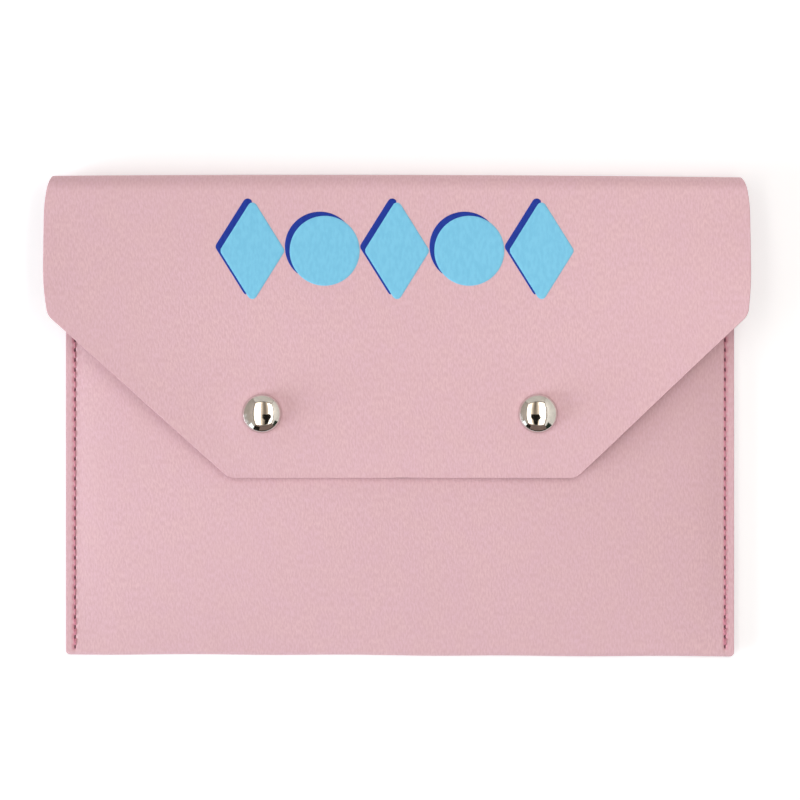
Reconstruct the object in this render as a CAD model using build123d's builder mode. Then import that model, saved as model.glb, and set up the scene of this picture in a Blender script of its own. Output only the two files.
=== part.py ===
from build123d import *
import os
from math import cos, pi, radians, sin, tan

os.makedirs("parts", exist_ok=True)

# A flat leather pouch that lies on its back, closed by a wide flap with two snaps.
# X runs across, Y towards the flap's fold, Z up from the table. The origin is under the middle
# of the closed pouch. Sizes are in millimetres and angles in degrees.

# Hide.
leather = 1.0

# Pouch.
pouch_width = 212.8
pouch_middle_x = 0.95
closed_length = 152.4
mouth_gap = 16.2
strip_width = 4.4
strip_lift = 0.9
layer_slit = 0.05
back_slope_width = 25.0
bottom_fold_room = 1.2
bottom_wall = 1.2
front_bulge = 4.45
bulge_shoulder = 20.0
bulge_run = 56.0
bulge_sections = 5

# Flap outline, measured on its top, its lengths from the fold.
flap_width = 221.9
flap_length = 95.8
fold_corner_inset = 2.0
fold_corner_length = 14.0
shoulder_length = 44.7
shoulder_inset = 0.9
shoulder_bow_length = 16.0
tip_left_x = -53.0
tip_right_x = 56.6
flap_corner_radius = 5.0

# Flap profile, from its fold to its tip.
hump_slope = 3.0
settle_length = 12.0
level_above_cap = 2.1
tip_bend_inset = 11.6
tip_bend_length = 5.0
tip_slope = 7.0

# Snaps, each with a cap, a socket and a ring spring on the flap, a stud and a post on the panel.
snap_spacing = 86.8
snap_from_tip = 20.3
seat_z = 6.95
seat_radius = 5.4
snap_stack = 2.6
hole_clearance = 0.05
cap_radius = 6.25
cap_height = 3.4
cap_rim = 0.9
cap_edge = 0.35
rivet_radius = 2.0
rivet_bore = 1.5
flare_radius = 2.6
flare_thickness = 0.2
socket_radius = 5.25
socket_gap = 0.1
socket_plate = 0.4
socket_edge = 0.3
spring_wire = 0.55
spring_opening = 30.0
spring_play = 0.05
groove_room = 0.45
head_clearance = 0.2
stud_flange_radius = 5.0
stud_flange = 0.5
stud_neck_radius = 2.5
stud_head_radius = 2.9
stud_head = 0.4
stud_bevel = 0.16
stud_height = 1.8
stud_bore = 2.2
post_radius = 1.9
post_bore = 1.5
post_flange_radius = 5.0
post_flange = 0.5
post_flare_radius = 2.15
post_flare = 0.3
neck_clearance = 0.15

# Side seams.
seam_inset = 2.9
stitch_pitch = 3.15
first_stitch = 2.6
seam_end = 1.2
thread = 0.4
thread_leg = 0.6
thread_dip = 0.2
needle_hole_radius = 0.45

# Print on the flap: lozenges and discs in turn.
motif_count = 5
motif_pitch = 22.7
print_from_fold = 24.4
lozenge_width = 20.6
lozenge_height = 33.0
lozenge_corner = 1.5
disc_radius = 11.0
film = 0.12
shadow_shift_x = -1.5
shadow_shift_y = 1.3

# Levels and places that follow from the sizes above.
bottom_y = -closed_length / 2
nose_y = closed_length / 2
mouth_y = nose_y - mouth_gap
shoulder_y = nose_y - shoulder_length
flap_tip_y = nose_y - flap_length
tip_bend_y = flap_tip_y + tip_bend_inset
snap_y = flap_tip_y + snap_from_tip
motif_y = nose_y - print_from_fold
pouch_half = pouch_width / 2
flap_half = flap_width / 2
strip_x = pouch_half - strip_width
strip_top = strip_lift + 2 * leather + layer_slit
bottom_fold_thickness = 2 * leather + bottom_fold_room
flap_inner_z = seat_z + snap_stack
flap_level = flap_inner_z + leather
settle_radius = settle_length / sin(radians(hump_slope))
tip_bend_radius = tip_bend_length / sin(radians(tip_slope))
settle_drop = settle_length * tan(radians(hump_slope / 2))
roll_radius = (flap_level + settle_drop) / (1 + cos(radians(hump_slope)))
spine_y = nose_y - roll_radius
hump_start_y = spine_y + roll_radius * sin(radians(hump_slope))
hump_end_y = snap_y + cap_radius + level_above_cap + settle_length
hump_radius = (hump_start_y - hump_end_y) / 2 / sin(radians(hump_slope))
snap_xs = {
    "left": pouch_middle_x - snap_spacing / 2,
    "right": pouch_middle_x + snap_spacing / 2,
}
spring_centre_radius = stud_neck_radius + neck_clearance + spring_wire / 2
socket_bottom = seat_z + stud_flange + socket_gap
lip_radius = stud_head_radius + head_clearance
groove_radius = spring_centre_radius + spring_wire / 2 + groove_room
rivet_foot = flap_inner_z - socket_plate - flare_thickness
stud_top = seat_z + stud_height
spring_z = stud_top - stud_head - spring_wire / 2
above_all = flap_level + 2 * cap_height


def cross_plane(y):
    """Plane across the pouch at y, with local x along X and local y along Z."""
    return Plane(origin=(0, y, 0), x_dir=(1, 0, 0), z_dir=(0, -1, 0))


def back_line(rise, side_lift, half, strip):
    """Line across the back sheet at a height, out to half a width: flat, its sides lifted to strips."""
    level = half - strip
    flat = level - back_slope_width
    pull = back_slope_width / 2
    for side in (-1, 1):
        Line(
            (pouch_middle_x + side * half, rise + side_lift),
            (pouch_middle_x + side * level, rise + side_lift),
        )
        Bezier(
            (pouch_middle_x + side * level, rise + side_lift),
            (pouch_middle_x + side * (level - pull), rise + side_lift),
            (pouch_middle_x + side * (flat + pull), rise),
            (pouch_middle_x + side * flat, rise),
        )
    Line((pouch_middle_x - flat, rise), (pouch_middle_x + flat, rise))


def above_back(y, rise, past_edge):
    """Section across the pouch at y: all above the back line at a height, out past its edges."""
    half = pouch_half + past_edge
    with BuildSketch(cross_plane(y)) as section:
        with BuildLine():
            back_line(rise, strip_lift, half, strip_width + past_edge)
            for side in (-1, 1):
                edge = pouch_middle_x + side * half
                Line((edge, rise + strip_lift), (edge, above_all))
            Line((pouch_middle_x - half, above_all), (pouch_middle_x + half, above_all))
        make_face()
    return section.sketch


def back_sheet(y, side_lift, half):
    """Section of the back sheet itself at y, out to half a width."""
    with BuildSketch(cross_plane(y)) as section:
        with BuildLine():
            back_line(0, side_lift, half, strip_width)
            back_line(leather, side_lift, half, strip_width)
            for side in (-1, 1):
                edge = pouch_middle_x + side * half
                Line((edge, side_lift), (edge, side_lift + leather))
        make_face()
    return section.sketch


def bulge_height(share):
    """Height of the front panel over its side strips, from the bottom fold (0) to the full bulge (1)."""
    least = bottom_fold_thickness - strip_top
    return least + (front_bulge - least) * sin(share * pi / 2)


def above_bulge(y, height, drop):
    """Section at y: all above the front panel's curve between the strips, lowered by drop."""
    level = strip_top - drop
    pull = 4 * height / 3
    left = pouch_middle_x - strip_x
    right = pouch_middle_x + strip_x
    with BuildSketch(cross_plane(y)) as section:
        with BuildLine():
            Bezier(
                (left, level),
                (left + bulge_shoulder, level + pull),
                (right - bulge_shoulder, level + pull),
                (right, level),
            )
            Polyline((right, level), (right, above_all), (left, above_all), (left, level))
        make_face()
    return section.sketch


def space_above_front(drop):
    """Space over the front panel's outer face, lowered by drop, as a solid to cut with."""
    sections = []
    for step in range(bulge_sections):
        share = step / (bulge_sections - 1)
        sections.append(above_bulge(bottom_y + share * bulge_run, bulge_height(share), drop))
    with BuildPart() as space:
        loft(sections)
        extrude(sections[-1], amount=bulge_run - 2 * nose_y)
        for side in (-1, 1):
            with BuildSketch(Plane.XY.offset(strip_top - drop)):
                with Locations((pouch_middle_x + side * (strip_x + flap_half), 0)):
                    Rectangle(2 * flap_half, 2 * closed_length)
            extrude(amount=above_all - strip_top + drop)
    return space.part


def flap_outline():
    """Outline of the flap and its fold, seen from above."""
    waist = flap_half - shoulder_inset
    nose = flap_half - fold_corner_inset
    with BuildSketch() as outline:
        with BuildLine():
            Line((-nose, nose_y), (nose, nose_y))
            for side in (-1, 1):
                upper = (side * flap_half, nose_y - fold_corner_length)
                lower = (side * flap_half, shoulder_y + shoulder_bow_length)
                TangentArc(upper, (side * nose, nose_y), tangent=(0, 1))
                Line(upper, lower)
                TangentArc(lower, (side * waist, shoulder_y), tangent=(0, -1))
            Line((-waist, shoulder_y), (tip_left_x, flap_tip_y))
            Line((waist, shoulder_y), (tip_right_x, flap_tip_y))
            Line((tip_left_x, flap_tip_y), (tip_right_x, flap_tip_y))
        make_face()
        corners = outline.vertices().filter_by(lambda corner: corner.Y <= shoulder_y)
        fillet(corners, flap_corner_radius)
    return outline.sketch


def roll_line(depth):
    """Half-roll at the flap's fold, at a depth under its outer face, in the YZ plane."""
    return CenterArc((spine_y, roll_radius), roll_radius - depth, -90, 180 - hump_slope)


def flap_line(start, depth):
    """Flap profile from its fold to past its tip, at a depth under its outer face, in the YZ plane."""
    rise = (-cos(radians(hump_slope)), sin(radians(hump_slope)))
    hump = JernArc(start, rise, hump_radius - depth, 2 * hump_slope)
    settle = JernArc(hump @ 1, hump % 1, settle_radius + depth, -hump_slope)
    seat = Line(settle @ 1, (tip_bend_y, (settle @ 1).Y))
    bend = JernArc(seat @ 1, seat % 1, tip_bend_radius - depth, tip_slope)
    past_tip = (bend @ 1).X - flap_tip_y + 4 * leather
    tip = Line(bend @ 1, bend @ 1 + (bend % 1) * past_tip)
    return tip @ 1


def roll_end(depth):
    """Point where the half-roll ends and the flap begins."""
    angle = radians(90 - hump_slope)
    reach = roll_radius - depth
    return (spine_y + reach * cos(angle), roll_radius + reach * sin(angle))


def flap_band(top, bottom):
    """Section of the flap between two depths under its outer face."""
    with BuildSketch(Plane.YZ) as band:
        with BuildLine():
            upper_end = flap_line(roll_end(top), top)
            lower_end = flap_line(roll_end(bottom), bottom)
            Line(roll_end(top), roll_end(bottom))
            Line(upper_end, lower_end)
        make_face()
    return band.sketch


def motif(number):
    """Outline of one motif of the print, about its own middle: lozenges and discs in turn."""
    half_width = lozenge_width / 2
    half_height = lozenge_height / 2
    with BuildSketch() as shape:
        if number % 2:
            Circle(disc_radius)
        else:
            with BuildLine():
                Polyline((half_width, 0), (0, half_height), (-half_width, 0), (0, -half_height), close=True)
            make_face()
            fillet(shape.vertices(), lozenge_corner)
    return shape.sketch


def revolved(x, *outline):
    """Solid of revolution about the snap's axis at x, from a closed outline of (radius, z) points."""
    with BuildPart() as turned:
        with BuildSketch(Plane(origin=(x, snap_y, 0), x_dir=(1, 0, 0), z_dir=(0, -1, 0))):
            with BuildLine():
                Polyline(*outline, close=True)
            make_face()
        revolve(axis=Axis((x, snap_y, 0), (0, 0, 1)))
    return turned.part


def write(piece, name):
    """Labels a finished piece and writes it."""
    piece.part.label = name
    export_step(piece.part, f"parts/{name}.step")


def seam_thread(x, surface, towards):
    """One seam's thread on its side of the hide: runs on the surface, legs down to mid-hide."""
    middle = strip_lift + leather + layer_slit / 2
    leg_top = surface + towards * (thread - thread_dip)
    with BuildPart() as seam:
        with BuildSketch(Plane(origin=(x - thread / 2, 0, 0), x_dir=(0, 1, 0), z_dir=(1, 0, 0))):
            for hole_y in hole_ys:
                with Locations((hole_y, (middle + leg_top) / 2)):
                    Rectangle(thread_leg, abs(leg_top - middle))
            for near_y, far_y in zip(hole_ys, hole_ys[1:]):
                with Locations(((near_y + far_y) / 2, surface + towards * thread / 2)):
                    Rectangle(far_y - near_y - thread_leg / 2, thread)
        extrude(amount=thread)
    return seam


seam_length = mouth_y - bottom_y - first_stitch - seam_end
stitch_count = int(seam_length / stitch_pitch)
hole_ys = [bottom_y + first_stitch + stitch_pitch * number for number in range(stitch_count + 1)]
seam_xs = {
    "left": pouch_middle_x - pouch_half + seam_inset,
    "right": pouch_middle_x + pouch_half - seam_inset,
}

# Room inside the pouch, out through its mouth and between the two layers of each side strip.
with BuildPart() as pouch_inside:
    extrude(above_back(bottom_y + bottom_wall, leather, leather), amount=bottom_y - nose_y)
    add(space_above_front(leather), mode=Mode.SUBTRACT)

# Back sheet above the mouth, widening to the flap and lying flat at the fold.
with BuildPart() as back_above_mouth:
    loft([back_sheet(mouth_y, strip_lift, pouch_half), back_sheet(spine_y, 0, flap_half)], ruled=True)
    extrude(flap_outline(), amount=above_all, mode=Mode.INTERSECT)

# Front panel, bottom fold and back: one folded sheet, with its needle holes and snap seats.
with BuildPart() as pouch_shell:
    extrude(above_back(bottom_y, 0, 0), amount=bottom_y - mouth_y)
    add(space_above_front(0), mode=Mode.SUBTRACT)
    fold = bottom_fold_thickness / 2
    with BuildSketch(Plane.YZ.offset(pouch_middle_x - flap_half)):
        with BuildLine():
            CenterArc((bottom_y + fold, fold), fold, 90, 180)
            Polyline(
                (bottom_y + fold, 0),
                (nose_y, 0),
                (nose_y, above_all),
                (bottom_y + bulge_run, above_all),
                (bottom_y + fold, bottom_fold_thickness),
            )
        make_face()
    extrude(amount=2 * flap_half, mode=Mode.INTERSECT)
    add(pouch_inside.part, mode=Mode.SUBTRACT)
    add(back_above_mouth.part)
    for x in seam_xs.values():
        with BuildSketch():
            with Locations([(x, y) for y in hole_ys]):
                Circle(needle_hole_radius)
        extrude(amount=above_all, mode=Mode.SUBTRACT)
    for x in snap_xs.values():
        with BuildSketch(Plane.XY.offset(seat_z - leather)):
            with Locations((x, snap_y)):
                Circle(seat_radius)
        extrude(amount=leather)
        for start, room in ((seat_z, snap_stack), (seat_z - leather, -leather)):
            with BuildSketch(Plane.XY.offset(start)):
                with Locations((x, snap_y)):
                    Circle(seat_radius)
            extrude(amount=room, mode=Mode.SUBTRACT)
        with BuildSketch(Plane.XY.offset(seat_z - leather)):
            with Locations((x, snap_y)):
                Circle(post_radius + hole_clearance)
        extrude(amount=leather, mode=Mode.SUBTRACT)
write(pouch_shell, "pouch_shell")

# Lockstitch along both sides: needle thread above, bobbin thread below, meeting in mid-hide.
for side, x in seam_xs.items():
    write(seam_thread(x, strip_top, 1), f"needle_thread_{side}")
    write(seam_thread(x, strip_lift, -1), f"bobbin_thread_{side}")

# Half-roll of hide at the top, from the back round to the flap.
with BuildPart() as flap_fold:
    with BuildSketch(Plane.YZ.offset(-flap_half)):
        with BuildLine():
            outer = roll_line(0)
            inner = roll_line(leather)
            Line(outer @ 0, inner @ 0)
            Line(outer @ 1, inner @ 1)
        make_face()
    extrude(amount=2 * flap_half)
    extrude(flap_outline(), amount=above_all, mode=Mode.INTERSECT)
write(flap_fold, "flap_fold")

# Flap, humped behind its snaps and turned down at its tip.
with BuildPart() as flap:
    extrude(flap_band(0, leather), amount=flap_half, both=True)
    extrude(flap_outline(), amount=above_all, mode=Mode.INTERSECT)
    for x in snap_xs.values():
        with BuildSketch():
            with Locations((x, snap_y)):
                Circle(rivet_radius + hole_clearance)
        extrude(amount=above_all, mode=Mode.SUBTRACT)
write(flap, "flap")

# Print: each light shape with its dark drop shadow, which shows only where the shape leaves it.
with BuildPart() as film_layer:
    extrude(flap_band(-film, 0), amount=flap_half, both=True)
for number in range(motif_count):
    x = motif_pitch * (number - (motif_count - 1) / 2)
    with BuildPart() as print_face:
        extrude(motif(number).moved(Location((x, motif_y, 0))), amount=above_all)
        add(film_layer.part, mode=Mode.INTERSECT)
    write(print_face, f"print_face_{number + 1}")
    with BuildPart() as print_shadow:
        shadow_place = Location((x + shadow_shift_x, motif_y + shadow_shift_y, 0))
        extrude(motif(number).moved(shadow_place), amount=above_all)
        add(film_layer.part, mode=Mode.INTERSECT)
        extrude(motif(number).moved(Location((x, motif_y, 0))), amount=above_all, mode=Mode.SUBTRACT)
    write(print_shadow, f"print_shadow_{number + 1}")

for side, x in snap_xs.items():
    # Post: an eyelet from inside the panel, flared over the stud's base.
    post_top = seat_z + stud_flange + post_flare
    with BuildPart() as snap_post:
        add(revolved(
            x,
            (post_bore, seat_z - leather - post_flange),
            (post_flange_radius, seat_z - leather - post_flange),
            (post_flange_radius, seat_z - leather),
            (post_radius, seat_z - leather),
            (post_radius, seat_z + stud_flange),
            (post_flare_radius, seat_z + stud_flange),
            (post_flare_radius, post_top),
            (post_bore, post_top),
        ))
    write(snap_post, f"snap_post_{side}")

    # Stud: a flanged ring with a neck under its rounded head.
    with BuildPart() as snap_stud:
        add(revolved(
            x,
            (post_radius + hole_clearance, seat_z),
            (stud_flange_radius, seat_z),
            (stud_flange_radius, seat_z + stud_flange),
            (stud_neck_radius, seat_z + stud_flange),
            (stud_neck_radius, stud_top - stud_head),
            (stud_head_radius, stud_top - stud_head + stud_bevel),
            (stud_head_radius, stud_top - stud_bevel),
            (stud_head_radius - stud_bevel, stud_top),
            (stud_bore, stud_top),
            (stud_bore, seat_z + stud_flange),
            (post_radius + hole_clearance, seat_z + stud_flange),
        ))
    write(snap_stud, f"snap_stud_{side}")

    # Socket: a cup under the flap with a groove for its spring.
    groove_bottom = spring_z - spring_wire / 2 - spring_play
    groove_top = spring_z + spring_wire / 2 + spring_play
    with BuildPart() as snap_socket:
        add(revolved(
            x,
            (rivet_radius + hole_clearance, flap_inner_z),
            (socket_radius, flap_inner_z),
            (socket_radius, socket_bottom + socket_edge),
            (socket_radius - socket_edge, socket_bottom),
            (lip_radius, socket_bottom),
            (lip_radius, groove_bottom),
            (groove_radius, groove_bottom),
            (groove_radius, groove_top),
            (lip_radius, groove_top),
            (lip_radius, flap_inner_z - socket_plate),
            (rivet_radius + hole_clearance, flap_inner_z - socket_plate),
        ))
    write(snap_socket, f"snap_socket_{side}")

    # Ring spring: a split ring of wire round the stud's neck.
    with BuildPart() as snap_spring:
        with BuildSketch(Plane(origin=(x, snap_y, spring_z), x_dir=(1, 0, 0), z_dir=(0, -1, 0))):
            with Locations((spring_centre_radius, 0)):
                Circle(spring_wire / 2)
        revolve(axis=Axis((x, snap_y, 0), (0, 0, 1)), revolution_arc=360 - spring_opening)
    write(snap_spring, f"snap_spring_{side}")

    # Cap: a dome on the flap with its tubular rivet, flared under the socket's plate.
    with BuildPart() as snap_cap:
        with BuildSketch(Plane(origin=(x, snap_y, 0), x_dir=(1, 0, 0), z_dir=(0, -1, 0))):
            with BuildLine():
                side_line = Polyline(
                    (0, flap_level + leather),
                    (rivet_bore, flap_level + leather),
                    (rivet_bore, rivet_foot),
                    (flare_radius, rivet_foot),
                    (flare_radius, rivet_foot + flare_thickness),
                    (rivet_radius, rivet_foot + flare_thickness),
                    (rivet_radius, flap_level),
                    (cap_radius - cap_edge, flap_level),
                    (cap_radius, flap_level + cap_edge),
                    (cap_radius, flap_level + cap_rim),
                )
                dome_rise = cap_height - cap_rim
                dome_radius = (cap_radius**2 + dome_rise**2) / 2 / dome_rise
                RadiusArc(side_line @ 1, (0, flap_level + cap_height), -dome_radius)
                Line((0, flap_level + cap_height), (0, flap_level + leather))
            make_face()
        revolve(axis=Axis((x, snap_y, 0), (0, 0, 1)))
    write(snap_cap, f"snap_cap_{side}")
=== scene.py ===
import math

import bmesh
import bpy
import numpy as np
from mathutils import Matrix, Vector


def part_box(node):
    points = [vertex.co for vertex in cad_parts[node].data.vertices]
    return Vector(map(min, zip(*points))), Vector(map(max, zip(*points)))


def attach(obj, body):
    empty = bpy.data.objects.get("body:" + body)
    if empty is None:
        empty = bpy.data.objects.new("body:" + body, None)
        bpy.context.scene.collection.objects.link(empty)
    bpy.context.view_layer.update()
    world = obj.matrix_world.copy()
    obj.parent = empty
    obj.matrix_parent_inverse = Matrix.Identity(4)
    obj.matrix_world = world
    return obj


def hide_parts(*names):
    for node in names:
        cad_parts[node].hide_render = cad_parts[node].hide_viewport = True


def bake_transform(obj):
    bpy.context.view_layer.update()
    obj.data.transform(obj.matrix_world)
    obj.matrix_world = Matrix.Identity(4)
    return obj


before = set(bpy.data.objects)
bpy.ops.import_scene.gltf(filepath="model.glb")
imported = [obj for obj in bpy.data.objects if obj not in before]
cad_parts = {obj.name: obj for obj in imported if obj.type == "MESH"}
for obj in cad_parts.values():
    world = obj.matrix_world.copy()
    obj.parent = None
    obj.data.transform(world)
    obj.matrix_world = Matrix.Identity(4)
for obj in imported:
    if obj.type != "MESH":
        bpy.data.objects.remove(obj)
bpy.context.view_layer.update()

# A flat leather pouch with a wide flap, two snaps, two stitched sides and a print on the flap.
# Everything is in metres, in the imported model's frame: X across, Y towards the fold, Z up.
MM = 0.001

# Hide.
LEATHER = 1.0 * MM
EDGE_ROUND = 0.16 * MM

# Pouch.
STRIP_WIDTH = 4.4 * MM
STRIP_LIFT = 0.9 * MM
SEAM_INSET = 2.9 * MM
MOUTH_GAP = 16.2 * MM
BACK_SLOPE = 25 * MM
CORNER_ROUND = 1.3 * MM
BOTTOM_DRIFT = 0.3 * MM
DRIFT_WIDTH = 50 * MM
DRIFT_FADE = 4 * MM
BOTTOM_WAVE = 0.1 * MM
BOTTOM_WAVE_X = 35 * MM
BOTTOM_WAVE_LENGTH = 8 * MM
FINE_COLUMN = 0.2 * MM
COLUMN_GROWTH = 0.3
BOTTOM_FOLD = 3.2 * MM
FRONT_BULGE = 4.45 * MM
BULGE_SHOULDER = 20 * MM
BULGE_RUN = 56 * MM
BULGE_START = 1.2 * MM
BULGE_SOFTNESS = 0.09
SEAT_RADIUS = 5.4 * MM
SEAT_BLEND = 4 * MM
PANEL_CALM = 18 * MM
JOIN_BELOW_SPINE = 4.2 * MM

# Upright wrinkles low on the pouch's left: place across, height and width in millimetres.
WRINKLES = ((-88.5, 0.3, 1.4), (-83.0, -0.24, 1.2), (-79.5, 0.34, 1.5), (-61.0, 0.15, 2.0))
WRINKLE_REACH = 13 * MM
WRINKLE_FADE = 2 * MM

# Flap outline and profile, where -1 is the left side and 1 the right one.
NOSE_INSET = 2.0 * MM
NOSE_LENGTH = 14 * MM
SHOULDER_FROM_FOLD = 44.7 * MM
SHOULDER_INSETS = {-1: 1.4 * MM, 1: 0.9 * MM}
SHOULDER_BOW = 16 * MM
TIP_LEFT_X = -53.0 * MM
TIP_RIGHT_X = 56.6 * MM
FLAP_CORNER = 5.0 * MM
HUMP_SLOPE = math.radians(3)
HUMP_LENGTH = 50 * MM
SETTLE_LENGTH = 12 * MM
TIP_BEND_INSET = 11.6 * MM
TIP_BEND_LENGTH = 5 * MM
TIP_SLOPE = math.radians(7)
FLAP_CURL = 1.6 * MM
NOSE_RISE = 0.15 * MM
NOSE_BOW = 0.55 * MM
NOSE_BOW_X = -25 * MM
CURL_START = 46 * MM
CURL_TOP = 66 * MM
CURL_FADE = 30 * MM
RIPPLE_TOP = 62 * MM
RIPPLE_FADE = 25 * MM
CAP_CALM = 9 * MM
CAP_DENT = 0.10 * MM
CAP_DENT_WIDTH = 1.3 * MM
PROFILE_STEP = 0.3 * MM
FLAP_COLUMNS = 121
COLUMN_CROWDING = 0.08
BACK_ROWS = 5
ROLL_ROWS = 27
ROW_STEP = 1.1 * MM
LAST_ROW = 1.6 * MM
SHOULDER_STEP = 0.37 * MM
SHOULDER_BELOW = 1.9 * MM
SHOULDER_ABOVE = 2.8 * MM
TIP_ROWS = 9
TIP_ROWS_TURN = 0.76

# Seams.
PITCH = 3.15 * MM
THREAD = 0.42 * MM
THREAD_LEG = 0.6 * MM
CAD_THREAD = 0.4 * MM
BACKTACK = 3
GROOVE_DEPTH = 0.17 * MM
GROOVE_WIDTH = 0.6 * MM
GROOVE_PAST_END = 0.8
HOLE_DEPTH = 0.4 * MM
HOLE_WIDTH = 0.3 * MM
HOLE_LENGTH = 0.6 * MM
HOLE_MARK_WIDTH = 0.27 * MM
HOLE_MARK_LENGTH = 0.72 * MM
HOLE_MARK_LEAN = 0.1
# Painted shade: the colour that darkens the hide and the thread in and round each needle hole.
HOLE_SHADE_TONE = (60, 8, 26)
# Painted shade of the seam groove: how far outwards its deeper rose band lies.
GROOVE_SHADE_OUT = 0.3 * MM
BACKTACK_SPREAD = 0.22 * MM
BACKTACK_LEAN = math.radians(5)
SLANT = math.radians(3)
SLANT_RANGE = math.radians(3)
WANDER = 0.05 * MM
STITCH_DIP = 0.6 * MM
STITCH_RISE = 0.33 * MM
STITCH_REACH = 0.42
STITCH_HANDLE = 0.3

# Print.
MOTIFS = 5
FILM = 0.08 * MM
FILM_EDGE = 0.09 * MM
FILM_LIFT = 0.004 * MM
FILM_SHOULDER = 0.45 * FILM
LEAST_SHADOW = 0.03 * MM
LOZENGE_WIDTH = 20.6 * MM
LOZENGE_HEIGHT = 33.0 * MM
LOZENGE_CORNER = 1.5 * MM
SHADOW_X = -1.5 * MM
SHADOW_Y = 1.3 * MM

# Snap parts.
RIVET_RADIUS = 2.0 * MM
RIVET_BORE = 1.5 * MM
FLARE_RADIUS = 2.6 * MM
FLARE_THICKNESS = 0.2 * MM
CAP_SINK = 0.04 * MM
CAP_EDGE = 0.25 * MM
SOCKET_PLATE = 0.4 * MM
LIP_RADIUS = 3.1 * MM
GROOVE_RADIUS = 3.65 * MM
GROOVE_HALF = 0.32 * MM
SPRING_WIRE = 0.55 * MM
SPRING_OPENING = math.radians(30)
STUD_FLANGE = 0.5 * MM
STUD_NECK = 2.5 * MM
STUD_HEAD = 2.9 * MM
STUD_HEAD_HEIGHT = 0.4 * MM
STUD_BORE = 2.2 * MM
POST_RADIUS = 1.9 * MM
POST_FLARE = 2.15 * MM
POST_BORE = 1.5 * MM
POST_FLANGE = 0.5 * MM
PLAY = 0.05 * MM
SOCKET_ROUND = 0.3 * MM
STUD_ROUND = 0.22 * MM
POST_ROUND = 0.18 * MM
CORNER_SHARE = 0.45

# Camera, straight above, the width of table that it sees and its sensor's width in millimetres.
CAMERA_PLACE = (0.95 * MM, 4.95 * MM, 0.6)
VIEW_WIDTH = 0.256
SENSOR = 36
CLIP_START = 0.01

# Studio, in metres; brightness 1 is that of a white card.
PAPER_GLOW = 0.3
SWEEP_RINGS = (0.4, 1.2)
SWEEP_RADIUS = 3.3
SWEEP_BEND = 0.9
SWEEP_WALL = 1.5
SWEEP_DROP = 0.0001
SKY = 0.37
SKY_TONE = (1, 0.92, 0.91)
STRIP_AWAY = 0.142
STRIP_ACROSS = 0.13
STRIP_ALONG = 0.53
STRIP_Y = -0.015
STRIP_TONE = (1, 0.985, 0.96)
WINDOW = 12.6
WINDOW_PLACE = (-1.35, -0.48, 0.315)
WINDOW_SIZE = (0.89, 0.58)
WINDOW_TONE = (0.82, 0.93, 1.0)
BACK_FILL = 0.62
BACK_FILL_PLACE = (0, 0.9, 0.22)
BACK_FILL_SIZE = (1.2, 0.4)
BACK_FILL_TONE = (1, 0.93, 0.9)

# Brightness of the left (-1) and the right (1) light strip, each one's front half first.
STRIP_LIGHT = {-1: (1.6, 1.45), 1: (1.5, 3.05)}

# Light tent, whose boards only show as reflections in the caps.
TENT_HALF_WIDTH = 0.235
TENT_HALF_LENGTH = 0.3
TENT_HEIGHT = 0.345
TENT_GAP = 0.01
TENT_FRAME = 0.015
BOARD_STEP = 0.002
LAMP_DROP = 0.005
STRIP_HALO = 2.5
SILL_HEIGHT = 0.06
PANE_Y = (-0.29, -0.155)
PANE_Z = (0.02, 0.2)
PANE_GLOW = 1.1
TENT_RIGHT_SEAM_END = -0.15
TENT_RIGHT_SEAM_HEIGHT = 0.22
TENT_LEFT_SEAM_X = (-0.225, -0.105)
TENT_LEFT_SEAM_Z = (0.07, 0.27)
CAMERA_BODY_HEIGHT = 0.24
CAMERA_BODY = (
    (-0.044, -0.01), (0.066, -0.008), (0.088, -0.055), (0.054, -0.098),
    (0.05, -0.185), (-0.008, -0.185), (-0.012, -0.088), (-0.046, -0.055),
)
CEILING_TONE = (0.38, 0.32, 0.25)
WALL_TONE = (0.65, 0.595, 0.53)
FRONT_TONE = (0.30, 0.22, 0.19)
PANE_TONE = (0.86, 0.97, 1.0)
TENT_SEAM_TONE = (0.02, 0.03, 0.022)
DARK_TONE = (0.02, 0.018, 0.015)

# Places that the frame gives.
pouch_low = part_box("pouch_shell")[0]
fold_low, fold_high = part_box("flap_fold")
flap_low, flap_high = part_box("flap")
seam_boxes = {side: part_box(f"needle_thread_{side}") for side in ("left", "right")}
cap_boxes = {side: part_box(f"snap_cap_{side}") for side in ("left", "right")}
BOTTOM_Y = pouch_low.y
NOSE_Y = fold_high.y
SPINE_Y = fold_low.y
MOUTH_Y = NOSE_Y - MOUTH_GAP
JOIN_Y = SPINE_Y - JOIN_BELOW_SPINE
SHOULDER_Y = NOSE_Y - SHOULDER_FROM_FOLD
TIP_Y = flap_low.y
FLAP_HALF = (flap_high.x - flap_low.x) / 2
ROLL_RADIUS = NOSE_Y - SPINE_Y
SEAM_X = {side: (low.x + high.x) / 2 for side, (low, high) in seam_boxes.items()}
POUCH_MIDDLE = (SEAM_X["left"] + SEAM_X["right"]) / 2
POUCH_HALF = (SEAM_X["right"] - SEAM_X["left"]) / 2 + SEAM_INSET
STRIP_X = POUCH_HALF - STRIP_WIDTH
STRIP_TOP = seam_boxes["left"][1].z - CAD_THREAD
FIRST_HOLE = seam_boxes["left"][0].y + THREAD_LEG / 2
STITCHES = round((seam_boxes["left"][1].y - THREAD_LEG / 2 - FIRST_HOLE) / PITCH)
SNAP_X = {side: (low.x + high.x) / 2 for side, (low, high) in cap_boxes.items()}
SNAP_Y = (cap_boxes["left"][0].y + cap_boxes["left"][1].y) / 2
CAP_RADIUS = (cap_boxes["left"][1].x - cap_boxes["left"][0].x) / 2
CAP_TOP = cap_boxes["left"][1].z
SEAT_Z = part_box("snap_stud_left")[0].z


def eased(share):
    """Smooth step from 0 to 1."""
    share = np.clip(share, 0, 1)
    return share * share * (3 - 2 * share)


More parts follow.
